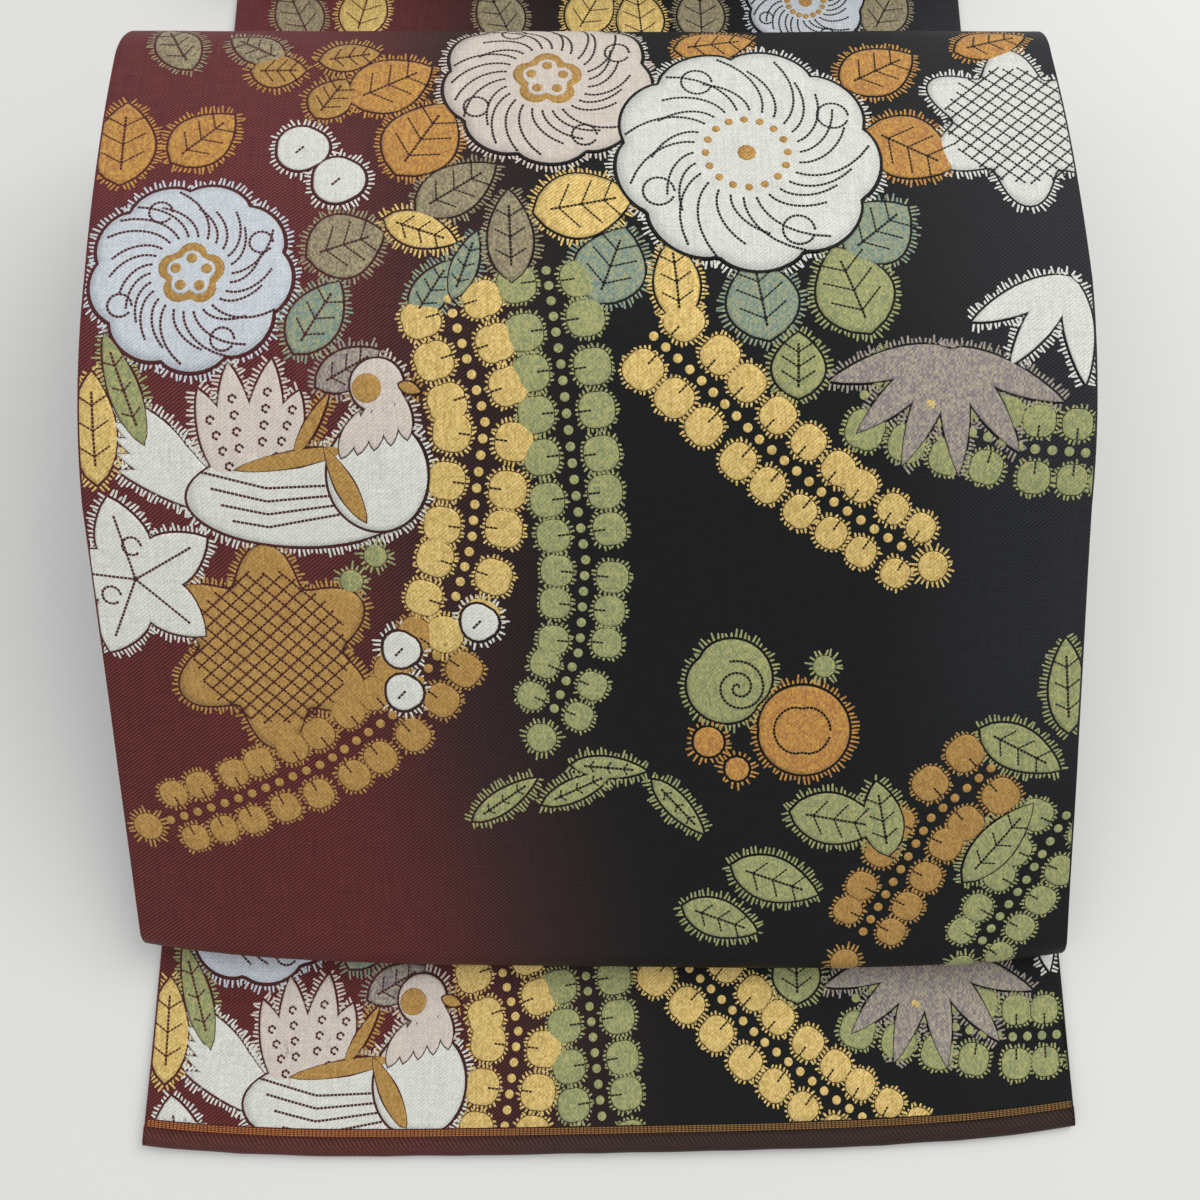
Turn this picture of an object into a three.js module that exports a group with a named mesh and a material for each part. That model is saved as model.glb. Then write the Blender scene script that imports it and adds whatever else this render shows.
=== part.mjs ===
// A double-woven sash (fukuro obi) laid on a flat surface in its drum form.
// Millimetres. X runs across the cloth, Y along it, away from the tail flap, and Z is up.
// The cloth is followed from the tail flap's end as one line seen from the side: flap, hairpin
// under the drum, the drum's bottom fold, its panel, crown and brow, the rear slope and the flat
// run. The rest of the length is folded to and fro in a stack, with the other end on top.
import * as THREE from 'three';

// ---- Driving sizes -------------------------------------------------------------------------
const WIDTH = 310;              // finished width of the sash
const LENGTH = 4350;            // finished length, from end to end
const FACE = 1.2;               // figured face cloth
const BACK = 1.1;               // plain back cloth
const GAP = 0.3;                // between the two cloths, and at every seam

const FLAP_SHOWN = 61;          // tail flap in front of the drum's bottom fold
const TUCK_DEPTH = 118;         // how far flap and hairpin reach in under the drum
const HAIRPIN_RADIUS = 2.1;     // centre line of the hairpin, figured side inside
const BOTTOM_RADIUS = 6;        // centre line of the drum's bottom fold
const PANEL_RISE = 27;          // slope of the drum's panel, degrees
const BROW_RADIUS = 26;         // where the drum turns down at its far edge
const REAR_FALL = 66;           // slope of the cloth behind the drum, degrees
const FLARE_RADIUS = 45;        // where that slope runs out flat
const RUN = 40;                 // flat stretch between the drum and the stack

const HEM_TOP = 6;              // plain band beyond the border line, on top
const HEM_UNDER = 12;           // and turned under
const STACK_LAYERS = 11;        // layers in the folded rest, the top one with the free end
const END_SHORT = 30;           // the free end stops this far before the stack's far edge
const SIDE_GROOVE = 1.2;        // depth of the groove between two layers at the selvedges
const OPEN_GROOVE = 3;          // and at an end where the two layers aren't joined

const CENTRE = BACK + GAP / 2;  // height of the centre line over whatever the cloth lies on
const THICK = BACK + GAP + FACE;
const LAYER = THICK + GAP;      // pitch of the layers in the stack

// Columns of points across the cloth, as shares of its half width, closer at the selvedges.
const ACROSS = [-1, -0.9, -0.7, -0.35, 0, 0.35, 0.7, 0.9, 1];
const CORNER_POWER = 4;         // how late the corners draw back from a straight fold line

// ---- The line of the cloth -----------------------------------------------------------------
// Each row is one arc or straight of the centre line: its length or radius, its turn in degrees
// (up is positive while the cloth heads away), and its number of steps. aside is how far the cloth has
// slipped to +X by the row's end, slant how far its right edge lies ahead of its middle, and
// corner how far both corners draw back.
const BOTTOM_TURN = PANEL_RISE - 180;
const SHOULDER_TURN = -25;
const CROWN_TURN = -12;
const BROW_TURN = -REAR_FALL - PANEL_RISE - SHOULDER_TURN - CROWN_TURN;
const FLAP = FLAP_SHOWN + TUCK_DEPTH;
const BACK_TO_FOLD = TUCK_DEPTH - BOTTOM_RADIUS;
const LINE_START = { y: 0, z: CENTRE, heading: 0, aside: 3.4, slant: 2.9, corner: 5.3 };
const LINE_ROWS = [
  { part: 'flap', length: FLAP, turn: 0, steps: 4, aside: 3.4, slant: 2.9, corner: 5.3 },
  { part: 'tuck', radius: HAIRPIN_RADIUS, turn: 180, steps: 6, aside: 3.2, slant: 2, corner: 5.5 },
  { part: 'tuck', length: BACK_TO_FOLD, turn: 0, steps: 3, aside: 1.5, slant: -1.6, corner: 6 },
  { part: 'drum', radius: BOTTOM_RADIUS, turn: BOTTOM_TURN, steps: 8, aside: 1, slant: -1.6, corner: 6 },
  { part: 'drum', length: 150, turn: 0, steps: 4, aside: -4, slant: 0, corner: 0 },
  { part: 'drum', length: 70, turn: SHOULDER_TURN, steps: 4, aside: -3.5, slant: 0, corner: 0 },
  { part: 'drum', length: 87, turn: CROWN_TURN, steps: 3, aside: -5.5, slant: 0, corner: 0 },
  { part: 'drum', radius: BROW_RADIUS, turn: BROW_TURN, steps: 7, aside: -4.5, slant: 0, corner: 0 },
  { part: 'rear', length: 'what is left', turn: 0, steps: 2, aside: -3, slant: 0, corner: 0 },
  { part: 'rear', radius: FLARE_RADIUS, turn: REAR_FALL, steps: 6, aside: -1, slant: 0, corner: 0 },
  { part: 'run', length: RUN, turn: 0, steps: 2, aside: -1, slant: 0, corner: 0 },
];

// A row gives its length or its radius. The straight fall behind the drum takes what is left of
// the height once the flare has had its share.
function rowLength(row, height) {
  if (row.radius) return row.radius * THREE.MathUtils.degToRad(Math.abs(row.turn));
  if (row.length !== 'what is left') return row.length;
  const fall = THREE.MathUtils.degToRad(REAR_FALL);
  const flareDrop = FLARE_RADIUS * (1 - Math.cos(fall));
  return (height - CENTRE - flareDrop) / Math.sin(fall);
}

// Stations along the line: position, heading, and the three ways it strays from a square lay.
function followLine(start, rows) {
  const stations = [];
  const at = { ...start };
  let travelled = 0;
  for (const row of rows) {
    const length = rowLength(row, at.z);
    const turn = THREE.MathUtils.degToRad(row.turn);
    const from = { ...at };
    for (let step = 0; step <= row.steps; step += 1) {
      const share = step / row.steps;
      const reach = length * share;
      const swing = turn * share;
      const chord = Math.abs(swing) > 1e-9 ? (2 * Math.sin(swing / 2) * reach) / swing : reach;
      at.y = from.y + chord * Math.cos(from.heading + swing / 2);
      at.z = from.z + chord * Math.sin(from.heading + swing / 2);
      at.heading = from.heading + swing;
      at.aside = THREE.MathUtils.lerp(from.aside, row.aside, share);
      at.slant = THREE.MathUtils.lerp(from.slant, row.slant, share);
      at.corner = THREE.MathUtils.lerp(from.corner, row.corner, share);
      stations.push({ ...at, part: row.part, travelled: travelled + reach });
    }
    travelled += length;
  }
  return stations;
}

// The point of the cloth at a station, a share across and a distance out on the figured side.
function clothPoint(station, across, out) {
  const back = station.slant * across + station.corner * Math.abs(across) ** CORNER_POWER;
  return new THREE.Vector3(
    (across * WIDTH) / 2 + station.aside,
    station.y + back - out * Math.sin(station.heading),
    station.z + out * Math.cos(station.heading),
  );
}

// ---- Closed bodies -------------------------------------------------------------------------
// Rings of equal, even count joined in order. The two end caps are strips that run between the
// first half of a ring and its second half, which comes back the other way.
function loft(rings) {
  const count = rings[0].length;
  const index = [];
  for (let ring = 0; ring + 1 < rings.length; ring += 1) {
    for (let k = 0; k < count; k += 1) {
      const a = ring * count + k;
      const b = ring * count + ((k + 1) % count);
      index.push(a, b, b + count, a, b + count, a + count);
    }
  }
  const last = (rings.length - 1) * count;
  for (let k = 0; k + 1 < count / 2; k += 1) {
    const far = count - 1 - k;
    index.push(k, far, k + 1, k + 1, far, far - 1);
    index.push(last + k, last + k + 1, last + far, last + k + 1, last + far - 1, last + far);
  }
  const positions = rings.flat().flatMap((point) => point.toArray());
  const geometry = new THREE.BufferGeometry();
  geometry.setAttribute('position', new THREE.Float32BufferAttribute(positions, 3));
  geometry.setIndex(signedVolume(positions, index) > 0 ? index : index.reverse());
  geometry.computeVertexNormals();
  return geometry;
}

function signedVolume(positions, index) {
  const corner = (k) => new THREE.Vector3().fromArray(positions, 3 * index[k]);
  let volume = 0;
  for (let k = 0; k < index.length; k += 3) {
    volume += corner(k).dot(corner(k + 1).cross(corner(k + 2))) / 6;
  }
  return volume;
}

// A wall of cloth along some stations, between two distances out from the centre line.
function clothWall(stations, inner, outer) {
  const rings = stations.map((station) => {
    const top = ACROSS.map((across) => clothPoint(station, across, outer));
    const under = ACROSS.map((across) => clothPoint(station, across, inner));
    return [...top, ...under.reverse()];
  });
  return loft(rings);
}

const faceWall = (stations) => clothWall(stations, GAP / 2, GAP / 2 + FACE);
const backWall = (stations) => clothWall(stations, -GAP / 2 - BACK, -GAP / 2);

// The stations of one part, with repeats dropped and a seam's gap left at either end.
function partStations(stations, part, startGap, endGap) {
  const own = stations.filter((station) => station.part === part);
  const unique = own.filter((station, k) => k === 0 || station.travelled - own[k - 1].travelled > 1e-6);
  return [
    slid(unique[0], startGap),
    ...unique.slice(1, -1),
    slid(unique[unique.length - 1], -endGap),
  ];
}

function slid(station, distance) {
  return {
    ...station,
    y: station.y + distance * Math.cos(station.heading),
    z: station.z + distance * Math.sin(station.heading),
    travelled: station.travelled + distance,
  };
}

// The hem that closes an end: the face cloth's plain band, turned round the end and under it.
// toward is -1 where the cloth ends at low Y, and 1 where it ends at high Y.
function turnedEnd(end, floor, toward) {
  const nose = THICK / 2;
  const curl = (radius, share) => {
    const angle = Math.PI * (0.5 - share);
    return [radius * Math.cos(angle), nose + radius * Math.sin(angle)];
  };
  const shares = [0, 0.25, 0.5, 0.75, 1];
  const outer = shares.map((share) => curl(nose, share));
  const inner = shares.map((share) => curl(GAP / 2, share));
  const topEnd = nose - HEM_TOP;
  const underEnd = nose - HEM_UNDER;
  const outerPath = [[topEnd, THICK], ...outer, [underEnd, 0]];
  const innerPath = [[topEnd, nose + GAP / 2], ...inner, [underEnd, nose - GAP / 2]];
  const section = [...outerPath, ...innerPath.reverse()];
  const rings = ACROSS.map((across) => {
    const edge = clothPoint({ ...end, heading: 0 }, across, 0);
    const along = (reach) => edge.y + toward * (reach - nose);
    return section.map(([reach, height]) => new THREE.Vector3(edge.x, along(reach), floor + height));
  });
  return loft(rings);
}

// The folded rest: one solid, with a groove between every two layers. Two layers are joined at
// the far end where the lower one heads away, and at the near end where it comes back. The top
// layer leaves room at the near end for the fold of the layer that lies on it.
function foldedStack(near, far, layers, foldRoom) {
  const rings = [];
  for (let layer = 0; layer < layers; layer += 1) {
    const low = layer * LAYER;
    const comesBack = layer % 2 === 1;
    const top = layer === layers - 1;
    const sway = 0.9 * Math.sin(2.4 * layer);
    const bulge = 0.7 * (1 + Math.sin(1.7 * layer + 0.5));
    const nearBulge = layer === 0 ? 0 : bulge;
    const full = { near: top ? foldRoom : nearBulge, far: bulge, side: 1, sway };
    const groove = {
      near: comesBack ? OPEN_GROOVE : bulge,
      far: comesBack ? bulge : OPEN_GROOVE,
      side: SIDE_GROOVE + 1,
      sway: 0,
    };
    rings.push(stackRing(near, far, low, layer === 0 ? full : groove));
    rings.push(stackRing(near, far, low + 0.3 * LAYER, full));
    rings.push(stackRing(near, far, low + 0.7 * LAYER, full));
  }
  const lid = { near: foldRoom, far: OPEN_GROOVE, side: SIDE_GROOVE + 1, sway: 0 };
  rings.push(stackRing(near, far, layers * LAYER - GAP, lid));
  return loft(rings);
}

// A rectangle with cut corners, drawn in from the stack's outline by the given amounts.
function stackRing(near, far, height, inset) {
  const cut = 2;
  const low = near + inset.near;
  const high = far - inset.far;
  const half = WIDTH / 2 - inset.side;
  const sides = [low + cut, (low + high) / 2, high - cut];
  const outline = [
    [0, low], [half - cut, low], ...sides.map((y) => [half, y]), [half - cut, high],
    [0, high], [cut - half, high], ...sides.reverse().map((y) => [-half, y]), [cut - half, low],
  ];
  return outline.map(([x, y]) => new THREE.Vector3(x + inset.sway, y, height));
}

// ---- Materials -----------------------------------------------------------------------------
const brocade = () => new THREE.MeshStandardMaterial({ color: '#3a1517', roughness: 0.55, metalness: 0.05 });
const plainBand = () => new THREE.MeshStandardMaterial({ color: '#2c1213', roughness: 0.6, metalness: 0 });
const backing = () => new THREE.MeshStandardMaterial({ color: '#131215', roughness: 0.65, metalness: 0 });

// ---- Assembly ------------------------------------------------------------------------------
const obi = new THREE.Group();

function add(name, geometry, material) {
  const mesh = new THREE.Mesh(geometry, material);
  mesh.name = name;
  obi.add(mesh);
}

// Both cloths of one part. A hem takes the place of the face for its top band and of the back
// for its under band, at the part's start or at its end.
function addStretch(stations, part, hemAt) {
  const seam = GAP / 2;
  const room = (hem, side) => (hemAt === side ? hem + GAP : seam);
  const own = (hem) => partStations(stations, part, room(hem, 'start'), room(hem, 'end'));
  add(`face_${part}`, faceWall(own(HEM_TOP)), brocade());
  add(`back_${part}`, backWall(own(HEM_UNDER)), backing());
}

const line = followLine(LINE_START, LINE_ROWS);
const lineEnd = line[line.length - 1];
add('hem_flap', turnedEnd(LINE_START, 0, -1), plainBand());
addStretch(line, 'flap', 'start');
for (const part of ['tuck', 'drum', 'rear', 'run']) addStretch(line, part, null);

// The stack takes what is left of the length, shared by its layers.
const stackNear = lineEnd.y + GAP / 2;
const stackDepth = (LENGTH - lineEnd.travelled + END_SHORT) / STACK_LAYERS;
const solidLayers = STACK_LAYERS - 1;
const foldRadius = (LAYER + BACK - FACE) / 2;
const foldReach = foldRadius + GAP / 2 + FACE;
const stack = foldedStack(stackNear, stackNear + stackDepth, solidLayers, foldReach + GAP);
add('folded_rest', stack, brocade());

// The free end comes out of the stack by a fold at its near edge, and lies on it.
const handStart = {
  y: stackNear + foldReach,
  z: (solidLayers - 1) * LAYER + FACE + GAP / 2,
  heading: Math.PI,
  aside: lineEnd.aside,
  slant: 0,
  corner: 0,
};
const handFlat = stackDepth - END_SHORT - foldReach;
const handLine = followLine(handStart, [
  { part: 'hand', radius: foldRadius, turn: -180, steps: 6, aside: 0, slant: 0, corner: 0 },
  { part: 'hand', length: handFlat, turn: 0, steps: 3, aside: 2, slant: 1.5, corner: 0 },
]);
const handEnd = handLine[handLine.length - 1];
addStretch(handLine, 'hand', 'end');
add('hem_hand', turnedEnd(handEnd, solidLayers * LAYER, 1), plainBand());

// The origin is under the middle of the whole, on the surface that it lies on.
const bounds = new THREE.Box3().setFromObject(obi);
const middle = bounds.getCenter(new THREE.Vector3());
obi.position.set(-middle.x, -middle.y, -bounds.min.z);

export default obi;
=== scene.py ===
import math
import random

import bpy
import numpy as np
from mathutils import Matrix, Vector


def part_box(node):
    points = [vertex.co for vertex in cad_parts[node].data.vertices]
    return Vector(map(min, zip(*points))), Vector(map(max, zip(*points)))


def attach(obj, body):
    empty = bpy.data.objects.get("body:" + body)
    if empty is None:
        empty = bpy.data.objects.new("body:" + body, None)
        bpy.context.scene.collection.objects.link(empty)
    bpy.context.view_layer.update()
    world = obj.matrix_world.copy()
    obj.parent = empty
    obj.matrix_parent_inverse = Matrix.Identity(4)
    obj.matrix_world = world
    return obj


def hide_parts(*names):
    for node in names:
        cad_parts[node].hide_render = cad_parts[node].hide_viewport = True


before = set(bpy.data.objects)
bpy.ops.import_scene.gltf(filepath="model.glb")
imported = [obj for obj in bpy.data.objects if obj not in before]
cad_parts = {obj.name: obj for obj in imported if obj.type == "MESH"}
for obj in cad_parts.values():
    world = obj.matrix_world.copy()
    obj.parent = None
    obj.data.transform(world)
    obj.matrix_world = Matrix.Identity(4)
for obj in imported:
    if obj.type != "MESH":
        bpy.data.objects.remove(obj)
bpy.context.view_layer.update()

MM = 0.001
TAU = 2 * math.pi

# ---- Sizes shared with the CAD ---------------------------------------------------------------
WIDTH = 310.0
HALF = WIDTH / 2
LENGTH = 4350.0
FACE = 1.2
BACK = 1.1
GAP = 0.3
FLAP = 179.0
BACK_TO_FOLD = 112.0
HAIRPIN_RADIUS = 2.1
BOTTOM_RADIUS = 6.0
BROW_RADIUS = 26.0
REAR_FALL = 66.0
FLARE_RADIUS = 45.0
RUN = 40.0
HEM_TOP = 6.0
HEM_UNDER = 12.0
STACK_LAYERS = 11
END_SHORT = 30.0
CENTRE = BACK + GAP / 2
THICK = BACK + GAP + FACE
LAYER = THICK + GAP
FACE_LOW = GAP / 2
FACE_TOP = GAP / 2 + FACE
BACK_LOW = -GAP / 2 - BACK
BACK_TOP = -GAP / 2
FLAP_ASIDE = 3.4
FLAP_SLANT = 2.9
FLAP_CORNER = 5.3
LOWEST_SHARE = -0.35            # where the flap's end reaches furthest forward, of half the width

START = dict(y=0.0, z=CENTRE, heading=0.0, aside=FLAP_ASIDE, slant=FLAP_SLANT, corner=FLAP_CORNER)
ROW_COLUMNS = ("part", "length", "radius", "turn", "aside", "slant", "corner")
LINE_ROWS = [
    ("flap", FLAP, 0, 0, 3.4, 2.9, 5.3),
    ("tuck", 0, HAIRPIN_RADIUS, 180, 3.2, 2.0, 5.5),
    ("tuck", BACK_TO_FOLD, 0, 0, 1.5, -1.6, 6.0),
    ("drum", 0, BOTTOM_RADIUS, -153, 1.0, -1.6, 6.0),
    ("drum", 150, 0, 0, -4.0, 0, 0),
    ("drum", 70, 0, -25, -3.5, 0, 0),
    ("drum", 87, 0, -12, -5.5, 0, 0),
    ("drum", 0, BROW_RADIUS, -56, -4.5, 0, 0),
    ("rear", "what is left", 0, 0, -3.0, 0, 0),
    ("rear", 0, FLARE_RADIUS, REAR_FALL, -1.0, 0, 0),
    ("run", RUN, 0, 0, -1.0, 0, 0),
]
LINE_STEP = 0.4
STATION_NAMES = ("y", "z", "heading", "aside", "slant", "corner")


def follow(start, rows):
    """Dense stations along the rows' arcs and straights, as columns of numbers."""
    at = dict(start)
    travelled = 0.0
    columns = {name: [] for name in ("along",) + STATION_NAMES}
    parts = {}
    for values in rows:
        row = dict(zip(ROW_COLUMNS, values))
        turn = math.radians(row["turn"])
        if row["radius"]:
            length = row["radius"] * abs(turn)
        elif row["length"] == "what is left":
            fall = math.radians(REAR_FALL)
            flare_drop = FLARE_RADIUS * (1 - math.cos(fall))
            length = (at["z"] - CENTRE - flare_drop) / math.sin(fall)
        else:
            length = row["length"]
        steps = max(2, int(length / LINE_STEP))
        begin = dict(at)
        for step in range(steps + 1):
            share = step / steps
            swing = turn * share
            reach = length * share
            chord = 2 * math.sin(swing / 2) * reach / swing if abs(swing) > 1e-9 else reach
            at["y"] = begin["y"] + chord * math.cos(begin["heading"] + swing / 2)
            at["z"] = begin["z"] + chord * math.sin(begin["heading"] + swing / 2)
            at["heading"] = begin["heading"] + swing
            for name in ("aside", "slant", "corner"):
                at[name] = begin[name] + (row[name] - begin[name]) * share
            columns["along"].append(travelled + reach)
            for name in STATION_NAMES:
                columns[name].append(at[name])
        low = parts.get(row["part"], (travelled, travelled))[0]
        travelled += length
        parts[row["part"]] = (low, travelled)
    line = {name: np.array(values) for name, values in columns.items()}
    line["parts"] = parts
    line["end"] = dict(at)
    line["length"] = travelled
    return line


# ---- Where the CAD puts the cloth ------------------------------------------------------------
flap_low, flap_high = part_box("face_flap")
hem_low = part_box("hem_flap")[0]
lowest_drop = FLAP_SLANT * LOWEST_SHARE + FLAP_CORNER * LOWEST_SHARE ** 4
ORIGIN_X = (flap_low.x + flap_high.x) / 2 / MM - FLAP_ASIDE
ORIGIN_Y = hem_low.y / MM - lowest_drop


def lay(line, side, along, out):
    """Points of the frame, in metres, for places on the cloth."""
    side, along, out = np.broadcast_arrays(side, along, out)
    at = {name: np.interp(along, line["along"], line[name]) for name in STATION_NAMES}
    share = np.clip(side / HALF, -1.02, 1.02)
    back = at["slant"] * share + at["corner"] * np.abs(share) ** 4
    x = ORIGIN_X + side + at["aside"]
    y = ORIGIN_Y + at["y"] + back - out * np.sin(at["heading"])
    z = at["z"] + out * np.cos(at["heading"])
    return np.stack([x, y, z], -1) * MM


main = follow(START, LINE_ROWS)
DRUM = main["parts"]["drum"]
REAR = main["parts"]["rear"]
RUN_SPAN = main["parts"]["run"]

# ---- Creases ---------------------------------------------------------------------------------
# Soft troughs and ridges in the cloth, each listed: where its middle is, how long and how
# wide it is, which way it runs (degrees from across the cloth) and its height.
CREASE_COLUMNS = ("side", "along", "length", "width", "angle", "height")
CREASES = [
    (-120, 395, 90, 16, 78, 0.7),
    (-96, 470, 120, 13, 96, -0.6),
    (-60, 350, 80, 18, 70, -0.5),
    (-20, 560, 110, 12, 84, 0.55),
    (12, 430, 150, 20, 92, -0.6),
    (44, 350, 70, 15, 104, 0.5),
    (70, 545, 90, 11, 97, 0.5),
    (96, 400, 140, 17, 86, 0.8),
    (128, 455, 170, 13, 93, -0.9),
    (146, 440, 150, 8, 89, 0.9),
    (-148, 520, 120, 9, 91, 0.7),
    (30, 640, 160, 9, 3, -0.4),
    (-90, 660, 120, 12, 171, 0.6),
    (60, 690, 90, 14, 80, -0.6),
    (-40, 700, 80, 12, 100, 0.6),
    (110, 670, 70, 16, 75, 0.5),
    (-100, 40, 70, 11, 82, 0.9),
    (-20, 26, 60, 14, 95, 0.7),
    (58, 34, 80, 12, 88, 0.8),
    (120, 22, 50, 10, 99, 1.0),
    (-146, 18, 60, 9, 60, 1.1),
    (-60, 775, 46, 12, 88, 0.4),
    (40, 770, 50, 15, 96, 0.4),
]
TABLE_LIFT = 1.0                # the flap's end rises a little from the table
TABLE_CREASES = 0.5             # share of a ridge's height that shows in cloth on the table


def relief(side, along):
    """How far the cloth stands off its plain form, from its creases."""
    side, along = np.broadcast_arrays(np.asarray(side, float), np.asarray(along, float))
    total = np.zeros(side.shape)
    for values in CREASES:
        crease = dict(zip(CREASE_COLUMNS, values))
        turn = math.radians(crease["angle"])
        across = side - crease["side"]
        up = along - crease["along"]
        run = across * math.cos(turn) + up * math.sin(turn)
        off = -across * math.sin(turn) + up * math.cos(turn)
        wave = 3.0 * np.sin(run / 23.0 + crease["side"])
        fade = np.exp(-(2 * run / crease["length"]) ** 4)
        total += crease["height"] * fade * np.exp(-((off - wave) / crease["width"]) ** 2)
    total += 0.16 * np.sin(side / 19.0 + along / 41.0) * np.sin(along / 27.0 - side / 60.0)
    total += 0.07 * np.sin(side / 7.5) * np.sin(along / 9.0 + side / 30.0)
    drum = np.clip((along - DRUM[0] - 8) / 24, 0, 1) * np.clip((REAR[1] - 20 - along) / 30, 0, 1)
    on_table = np.abs(total) * TABLE_CREASES
    flap = np.clip((FLAP + 2 - along) / 40, 0, 1)
    run = np.clip((along - REAR[1] + 14) / 12, 0, 1) * 0.6
    end_lift = TABLE_LIFT * flap * np.exp(-(along / 26.0) ** 2) * (0.55 + 0.45 * np.sin(side / 34.0 + 0.8))
    return drum * total + (flap + run) * on_table + end_lift


# ---- Meshes ----------------------------------------------------------------------------------
def make_object(name, points, faces, material):
    mesh = bpy.data.meshes.new(name)
    mesh.from_pydata([tuple(p) for p in points], [], [tuple(f) for f in faces])
    mesh.shade_smooth()
    mesh.materials.append(material)
    piece = bpy.data.objects.new(name, mesh)
    bpy.context.scene.collection.objects.link(piece)
    return piece


def set_vector(piece, name, values):
    layer = piece.data.attributes.new(name, "FLOAT_VECTOR", "POINT")
    layer.data.foreach_set("vector", np.asarray(values, np.float32).ravel())


def set_colour(piece, name, values):
    layer = piece.data.attributes.new(name, "FLOAT_COLOR", "POINT")
    layer.data.foreach_set("color", np.asarray(values, np.float32).ravel())


def set_number(piece, name, values):
    layer = piece.data.attributes.new(name, "FLOAT", "POINT")
    layer.data.foreach_set("value", np.asarray(values, np.float32).ravel())


def smoothstep(low, high, value):
    share = np.clip((value - low) / (high - low), 0, 1)
    return share * share * (3 - 2 * share)


# The ground goes from maroon on the left to black on the right, with a painted sheen (a lighter bluish black
# standing in for a highlight) over the black at the upper right.
MAROON = np.array((0.112, 0.020, 0.019))
MAROON_TOP = np.array((0.135, 0.028, 0.030))
UMBER = np.array((0.040, 0.015, 0.014))
BLACK = np.array((0.0045, 0.005, 0.0052))
BLACK_PAINTED_SHEEN = np.array((0.017, 0.018, 0.022))


def ground(side, along):
    """The ground cloth's colour with a painted sheen on the black, three numbers for each place."""
    side, along = np.broadcast_arrays(np.asarray(side, float), np.asarray(along, float))
    high = smoothstep(380, 600, along)[..., None]
    left = MAROON * (1 - high) + MAROON_TOP * high
    middle = -32 + 20 * smoothstep(420, 310, along)
    share = smoothstep(middle - 72, middle + 44, side)[..., None]
    low_half = np.clip(share * 2, 0, 1)
    high_half = np.clip(share * 2 - 1, 0, 1)
    colour = left * (1 - low_half) + UMBER * low_half
    colour = colour * (1 - high_half) + BLACK * high_half
    # Painted sheen: a lighter bluish black standing in for the highlight on the black, at the upper right.
    sheen = (smoothstep(80, 150, side) * smoothstep(330, 430, along))[..., None]
    return colour * (1 - sheen) + BLACK_PAINTED_SHEEN * sheen


def with_alpha(colours, alpha=1.0):
    colours = np.asarray(colours, float)
    return np.concatenate([colours, np.full(colours.shape[:-1] + (1,), alpha)], -1)


def signed_volume(points, faces):
    total = 0.0
    groups = {}
    for face in faces:
        groups.setdefault(len(face), []).append(face)
    for group in groups.values():
        group = np.array(group)
        for k in range(1, group.shape[1] - 1):
            a, b, c = points[group[:, 0]], points[group[:, k]], points[group[:, k + 1]]
            total += np.einsum("ij,ij->i", a, np.cross(b, c)).sum() / 6
    return total


def ring_faces(base, count):
    """The quads between one ring of points and the next."""
    ring = base + np.arange(count)
    following = base + (np.arange(count) + 1) % count
    return np.stack([ring, following, following + count, ring + count], -1).tolist()


EDGE_ROUND = 0.45


def shell(name, line, along, columns, low, high, material, lift=relief, colour=ground, shift=0.0):
    """A closed thin wall of cloth between two heights, with round selvedges."""
    side = np.linspace(-HALF + EDGE_ROUND, HALF - EDGE_ROUND, columns)
    edge_side = np.array((HALF - 0.12, HALF, HALF - 0.12))
    edge_share = np.array((0.85, 0.5, 0.15))
    ring_side = np.concatenate([side, edge_side, side[::-1], -edge_side])
    ring_share = np.concatenate([np.ones(columns), edge_share, np.zeros(columns), edge_share[::-1]])
    along = np.asarray(along, float)
    grid_side = np.tile(ring_side, (len(along), 1))
    grid_along = np.tile(along[:, None], (1, len(ring_side)))
    out = low + (high - low) * ring_share[None, :] + lift(grid_side, grid_along)
    points = lay(line, grid_side, grid_along, out).reshape(-1, 3)
    count = len(ring_side)
    ring = np.arange(count)
    faces = []
    for k in range(len(along) - 1):
        base = k * count
        faces += ring_faces(base, count)
    for base, flip in ((0, True), ((len(along) - 1) * count, False)):
        under = 2 * columns + 2 - ring[:columns]
        for k in range(columns - 1):
            cap = [base + k, base + under[k], base + under[k + 1], base + k + 1]
            faces.append(cap[::-1] if flip else cap)
        right = [base + k for k in (columns - 1, columns + 3, columns + 2, columns + 1, columns)]
        left = [base] + [base + count - k for k in (1, 2, 3, 4)]
        faces.append(right[::-1] if flip else right)
        faces.append(left[::-1] if flip else left)
    if signed_volume(points, faces) < 0:
        faces = [face[::-1] for face in faces]
    piece = make_object(name, points, faces, material)
    weave = np.stack([grid_side, grid_along + shift, np.zeros_like(out)], -1)
    set_vector(piece, "weave", weave.reshape(-1, 3))
    set_colour(piece, "tone", with_alpha(colour(grid_side, grid_along + shift)).reshape(-1, 4))
    return piece


# ---- Materials -------------------------------------------------------------------------------
TWILL_PITCH = 0.95
TWILL_ANGLE = math.radians(39)


def node(tree, kind, **settings):
    made = tree.nodes.new(kind)
    for name, value in settings.items():
        setattr(made, name, value)
    return made


def math_node(tree, operation, first, second=None, third=None):
    made = node(tree, "ShaderNodeMath", operation=operation)
    for k, value in enumerate((first, second, third)):
        if value is None:
            continue
        if isinstance(value, (int, float)):
            made.inputs[k].default_value = value
        else:
            tree.links.new(value, made.inputs[k])
    return made.outputs[0]


def scaled(tree, vector, factors):
    made = node(tree, "ShaderNodeVectorMath", operation="MULTIPLY")
    tree.links.new(vector, made.inputs[0])
    made.inputs[1].default_value = factors
    return made.outputs[0]


def mixed(tree, share, first, second, blend="MIX"):
    made = node(tree, "ShaderNodeMix", data_type="RGBA", blend_type=blend)
    for socket, value in ((made.inputs[0], share), (made.inputs[6], first), (made.inputs[7], second)):
        if isinstance(value, (int, float)):
            socket.default_value = value
        elif isinstance(value, tuple):
            socket.default_value = value
        else:
            tree.links.new(value, socket)
    return made.outputs[2]


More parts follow.
